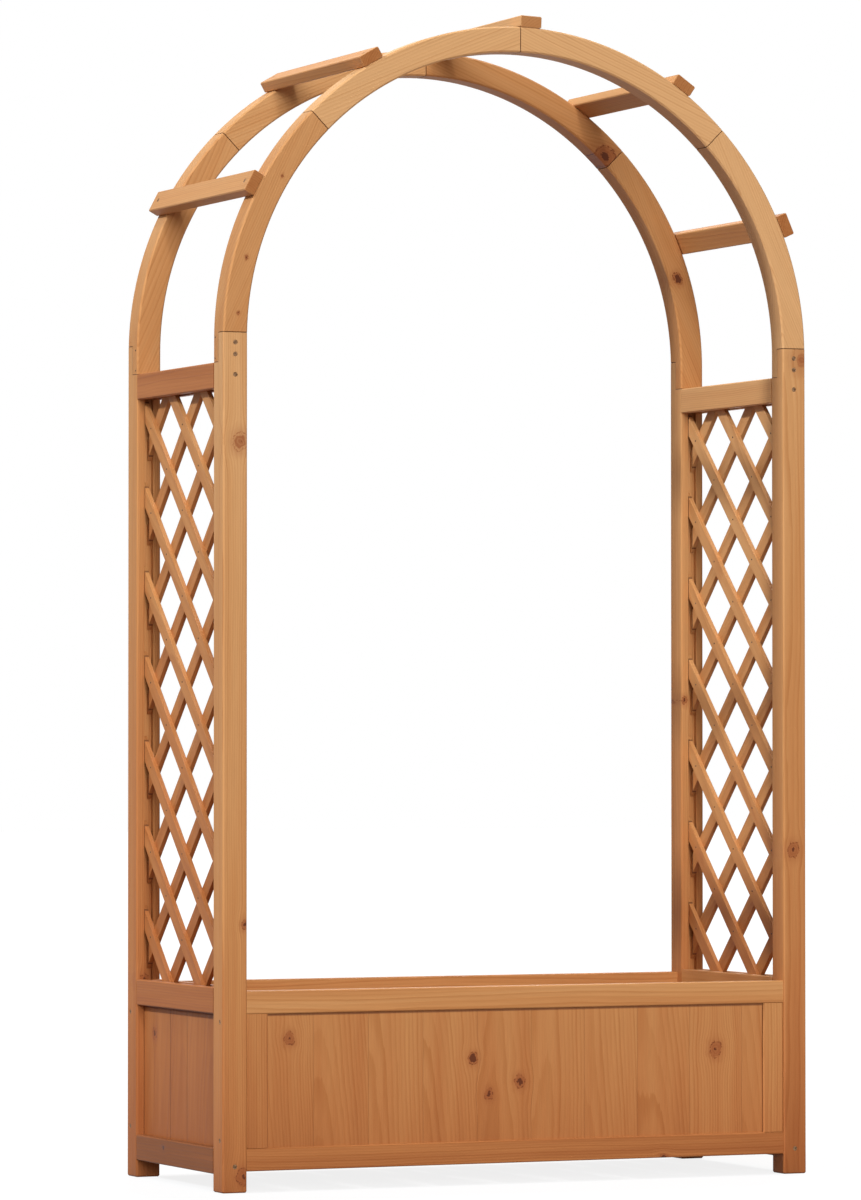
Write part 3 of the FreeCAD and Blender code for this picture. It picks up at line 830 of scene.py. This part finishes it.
def add_screw(mesh, place, length):
    """One closed screw in the mesh, standing at place with its tip down."""
    start = len(mesh.verts)
    rings = [ring(mesh, radius, depth, RIM_STEPS) for radius, depth in HEAD_RINGS]
    rings.append(ring(mesh, HEAD_RINGS[-1][0], length, RIM_STEPS))
    recess = cross(mesh, *CROSS_TOP, HEAD_RINGS[0][1])
    floor = cross(mesh, *CROSS_FLOOR, CROSS_DEPTH)
    flat_edges = loop_edges(mesh, rings[0]) + loop_edges(mesh, recess)
    bmesh.ops.triangle_fill(mesh, use_beauty=True, edges=flat_edges)
    for upper, lower in zip(rings, rings[1:]):
        wall(mesh, upper, lower)
    wall(mesh, recess, floor)
    mesh.faces.new(floor)
    mesh.faces.new(rings[-1])
    mesh.verts.ensure_lookup_table()
    bmesh.ops.transform(mesh, matrix=place, verts=mesh.verts[start:])


print("screw head", round(2000 * HEAD_RINGS[1][0], 1), "mm wide")

# %% Where the pegs stand
WELD = 0.00001
HEAD_THICKNESS = 0.0005


def islands(mesh):
    """The points of each separate peg in a mesh."""
    waiting = set(mesh.verts)
    while waiting:
        island, edge = set(), [waiting.pop()]
        while edge:
            point = edge.pop()
            island.add(point)
            edge += [other for other in (link.other_vert(point) for link in point.link_edges)
                     if other in waiting]
            waiting -= set(edge)
        yield np.array([point.co for point in island])


def peg_places(piece):
    """Head middle, direction down the shank and length of every peg in a screw node."""
    mesh = bmesh.new()
    mesh.from_mesh(pieces[piece].data)
    bmesh.ops.remove_doubles(mesh, verts=mesh.verts, dist=WELD)
    places = []
    for points in islands(mesh):
        middle = points.mean(axis=0)
        axis = np.linalg.svd(points - middle)[2][0]
        along = (points - middle) @ axis
        spread = np.linalg.norm(points - middle - np.outer(along, axis), axis=1)
        head = along[np.argmax(spread)]
        down = axis if head < along.mean() else -axis
        top = points[np.abs(along - head) < HEAD_THICKNESS].mean(axis=0)
        places.append((Vector(top), Vector(down), float(np.ptp(along))))
    mesh.free()
    return sorted(places, key=lambda place: tuple(round(value, 4) for value in place[0]))


screw_nodes = [name for name in pieces if name.endswith("_screws")]
pegs = {name: peg_places(name) for name in screw_nodes}
print(sum(len(places) for places in pegs.values()), "pegs found")

# %% Screws in place of the pegs
TURN_EACH = 0.7


def facing_out(point, direction):
    """The matrix that stands something at a point with its head towards a direction."""
    turned = Vector(direction).to_track_quat("Z", "Y").to_matrix().to_4x4()
    return Matrix.Translation(point) @ turned


def finished_piece(name, mesh, material):
    """Turn a bmesh into a closed object with a material."""
    bmesh.ops.recalc_face_normals(mesh, faces=mesh.faces)
    data = bpy.data.meshes.new(name)
    mesh.to_mesh(data)
    mesh.free()
    data.materials.append(material)
    made = bpy.data.objects.new(name, data)
    bpy.context.scene.collection.objects.link(made)
    return made


for piece in screw_nodes:
    mesh = bmesh.new()
    for index, (top, down, length) in enumerate(pegs[piece]):
        turned = Matrix.Rotation(TURN_EACH * index, 4, "Z")
        add_screw(mesh, facing_out(top, -down) @ turned, length)
    detailed = finished_piece(piece.replace("_screws", "_cross_head_screws"), mesh, screw_metal)
    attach(detailed, "root")
    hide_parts(piece)
    print(detailed.name, "stand in for", piece, "with", len(detailed.data.polygons), "faces")

# %% [markdown]
# ## Nails and pins
# Small nails hold the lattice strips where they cross, and two pins at each post hold the side of
# the half-lap. Only their domed heads show. They could be dots of dark colour, but a dome catches
# the light, so they are made from rings like the screws. All nails are one piece and all pins are
# another, because nobody moves a single one.

# %% One nail
NAIL_STEPS = 12
NAIL_RINGS = ((0.0006, 0.0007), (0.00115, 0.00045), (0.0014, 0.0), (0.0006, -0.0001),
              (0.0006, -0.006))


def add_nail(mesh, place):
    """A domed nail, closed at its crown and its tip."""
    start = len(mesh.verts)
    rings = [ring(mesh, radius, -height, NAIL_STEPS) for radius, height in NAIL_RINGS]
    for upper, lower in zip(rings, rings[1:]):
        wall(mesh, upper, lower)
    mesh.faces.new(rings[0])
    mesh.faces.new(rings[-1])
    mesh.verts.ensure_lookup_table()
    bmesh.ops.transform(mesh, matrix=place, verts=mesh.verts[start:])


print("nail head", round(2000 * max(radius for radius, height in NAIL_RINGS), 1), "mm wide")

# %% Lattice nails
LATTICE_MIDDLE, LATTICE_FACE, LATTICE_FOOT = 0.48, 0.007, 0.33
LATTICE_ROWS, LATTICE_COLUMNS = 14, (-2, -1, 0, 1, 2)
half_step = LATTICE_STEP / 2

nails = bmesh.new()
for end in (-LATTICE_MIDDLE, LATTICE_MIDDLE):
    for row in range(LATTICE_ROWS):
        level = LATTICE_TOP - half_step * (row + 1)
        for column in LATTICE_COLUMNS:
            if (row + column) % 2 == 0 and level > LATTICE_FOOT:
                place = (end - LATTICE_FACE, column * half_step, level)
                add_nail(nails, facing_out(place, (-1, 0, 0)))
lattice_nails = finished_piece("lattice_nails", nails, nail_metal)
print("nails at every crossing,", round(1000 * half_step, 1), "mm from row to row")

# %% Lap pins
POST_SIDE, PIN_DEPTH, PIN_LEVELS = 0.5, 0.167, (1.271, 1.303)

pins = bmesh.new()
for side in (-1, 1):
    for end in (-1, 1):
        for level in PIN_LEVELS:
            add_nail(pins, facing_out((POST_SIDE * side, PIN_DEPTH * end, level), (side, 0, 0)))
lap_pins = finished_piece("lap_pins", pins, nail_metal)
for piece in (lattice_nails, lap_pins):
    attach(piece, "root")
    print(piece.name, len(piece.data.polygons), "faces")

# %% [markdown]
# ## Floor and background
# The bed stands in a plain white studio. A bright white floor would throw light up at the wood and
# wash out its colour. A Light Path node tells who is looking: to the camera, to shiny surfaces and
# through glass, floor and room are white, and to all other light they are dim. Part of the floor's
# shader is matt paper that takes light, so the floor still keeps a soft shadow.

# %% Who is looking


def seen_by_eye(desk):
    """One for rays from the camera, off shiny surfaces or through glass, zero for other light."""
    path = desk.node("ShaderNodeLightPath").outputs
    shiny = desk.math("MAXIMUM", path["Is Glossy Ray"], path["Is Transmission Ray"])
    return desk.math("MAXIMUM", path["Is Camera Ray"], shiny)


print("white to the eye, dim to other light")

# %% Floor
FLOOR_REACH, FLOOR_DROP = 30, 0.0004
FLOOR_CORNERS = ((-1, -1), (1, -1), (1, 1), (-1, 1))

floor_mesh = bpy.data.meshes.new("studio_floor")
corners = [(x * FLOOR_REACH, y * FLOOR_REACH, 0) for x, y in FLOOR_CORNERS]
floor_mesh.from_pydata(corners, [], [(0, 1, 2, 3)])
studio_floor = bpy.data.objects.new("studio_floor", floor_mesh)
studio_floor.location.z = -FLOOR_DROP
bpy.context.scene.collection.objects.link(studio_floor)
print("floor", 2 * FLOOR_REACH, "m wide")

# %% White paper on the floor
PAPER_SEEN, PAPER_UNSEEN = (0.55, 0.55, 0.55, 1), (0.17, 0.12, 0.12, 1)
GLOW_SHARE, GLOW_STRENGTH = 0.72, 1.17

paper = bpy.data.materials.new("white_paper")
paper.use_nodes = True
paper.node_tree.nodes.clear()
desk = Desk(paper.node_tree)
seen = seen_by_eye(desk)
matt = desk.node("ShaderNodeBsdfDiffuse")
desk.plug(desk.blend(seen, PAPER_UNSEEN, PAPER_SEEN), matt.inputs["Color"])
glow = desk.node("ShaderNodeEmission")
glow.inputs["Strength"].default_value = GLOW_STRENGTH
share = desk.node("ShaderNodeMixShader")
desk.plug(desk.math("MULTIPLY", seen, GLOW_SHARE), share.inputs[0])
desk.plug(matt.outputs[0], share.inputs[1])
desk.plug(glow.outputs[0], share.inputs[2])
desk.plug(share.outputs[0], desk.node("ShaderNodeOutputMaterial").inputs["Surface"])
studio_floor.data.materials.append(paper)
print("paper glows to the eye by", round(GLOW_SHARE * GLOW_STRENGTH, 2))

# %% Room
ROOM_LIGHT, ROOM_TINT = 0.17, (1.0, 0.92, 0.85, 1)

world = bpy.data.worlds.new("white_room")
bpy.context.scene.world = world
world.use_nodes = True
world.node_tree.nodes.clear()
desk = Desk(world.node_tree)
seen = seen_by_eye(desk)
room = desk.node("ShaderNodeBackground")
desk.plug(desk.fade(seen, 0.0, 1.0, ROOM_LIGHT, 1.0), room.inputs["Strength"])
desk.plug(desk.blend(seen, ROOM_TINT, WHITE), room.inputs["Color"])
desk.plug(room.outputs[0], desk.node("ShaderNodeOutputWorld").inputs["Surface"])
print("room light", ROOM_LIGHT)

# %% [markdown]
# ## Lamps
# Four far lamps model the forms. A broad low lamp in front lights the box and the posts. A small
# high lamp adds a little from above. A crisp lamp at the left lights the end of the bed and draws
# the shadow under its rails. A broad lamp behind lights the tops of the slats and the far sides.
# Near lamps would light the box and the arch unevenly, so all four are suns, whose light is the
# same at any height. A wider angle makes a softer shadow.
# The fall of the light from the top of the bed to its feet is painted into the stain's ramp.

# %% Lamps


def hang_lamp(name, turn, rise, energy, softness, colour=(1, 1, 1)):
    """A far lamp. Turn goes from the front towards the right, rise from the floor, in degrees."""
    light = bpy.data.lights.new(name, "SUN")
    light.energy = energy
    light.color = colour
    light.angle = math.radians(softness)
    lamp = bpy.data.objects.new(name, light)
    turn, rise = math.radians(turn), math.radians(rise)
    level = math.cos(rise)
    towards = Vector((math.sin(turn) * level, -math.cos(turn) * level, math.sin(rise)))
    lamp.rotation_mode = "QUATERNION"
    lamp.rotation_quaternion = towards.to_track_quat("Z", "Y")
    bpy.context.scene.collection.objects.link(lamp)
    print(name, "energy", energy)


hang_lamp("soft_lamp", turn=-12, rise=14, energy=2.28, softness=25)
hang_lamp("high_lamp", turn=-20, rise=50, energy=0.6, softness=4)
hang_lamp("left_lamp", turn=-88, rise=41, energy=2.42, softness=4, colour=(0.95, 1.0, 1.07))
hang_lamp("back_lamp", turn=148, rise=46, energy=2.6, softness=20)

# %% [markdown]
# ## Camera
# The camera could be moved by eye until the picture looks right, but numbers can be checked, so
# its place, turn and lens were fitted to corners of the bed in the photograph. It stands about
# nine metres away at the left front, 0.7 m above the floor, and looks nearly level, so the posts
# stay upright. The focal length is written in pixels of the photograph, because that is what such
# a fit gives.

# %% Camera
CAMERA_PLACE = Vector((-3.8430, -8.4050, 0.6991))
YAW, PITCH, ROLL = 0.4225, 0.0228, -0.0001
FOCAL_PIXELS, IMAGE_HEIGHT = 5823.4, 1200
SENSOR, FARTHEST = 36, 100

level = math.cos(PITCH)
forward = Vector((math.sin(YAW) * level, math.cos(YAW) * level, math.sin(PITCH)))
right = Vector((math.cos(YAW), -math.sin(YAW), 0))
up = right.cross(forward)
right, up = (right * math.cos(ROLL) + up * math.sin(ROLL),
             up * math.cos(ROLL) - right * math.sin(ROLL))
lens = bpy.data.cameras.new("photo_camera")
lens.sensor_width = SENSOR
lens.lens = FOCAL_PIXELS / IMAGE_HEIGHT * SENSOR
lens.clip_end = FARTHEST
camera = bpy.data.objects.new("photo_camera", lens)
turned = Matrix((right, up, -forward)).transposed().to_4x4()
camera.matrix_world = Matrix.Translation(CAMERA_PLACE) @ turned
bpy.context.scene.collection.objects.link(camera)
bpy.context.scene.camera = camera
bpy.context.scene.view_settings.view_transform = "Standard"
print("lens", round(lens.lens, 1), "mm,", round(CAMERA_PLACE.length, 2), "m away")

# %% [markdown]
# ## Sizes
# The added screws, nails and pins should leave the size of the bed alone. Only the pin heads stand
# out of the posts, by less than a millimetre.
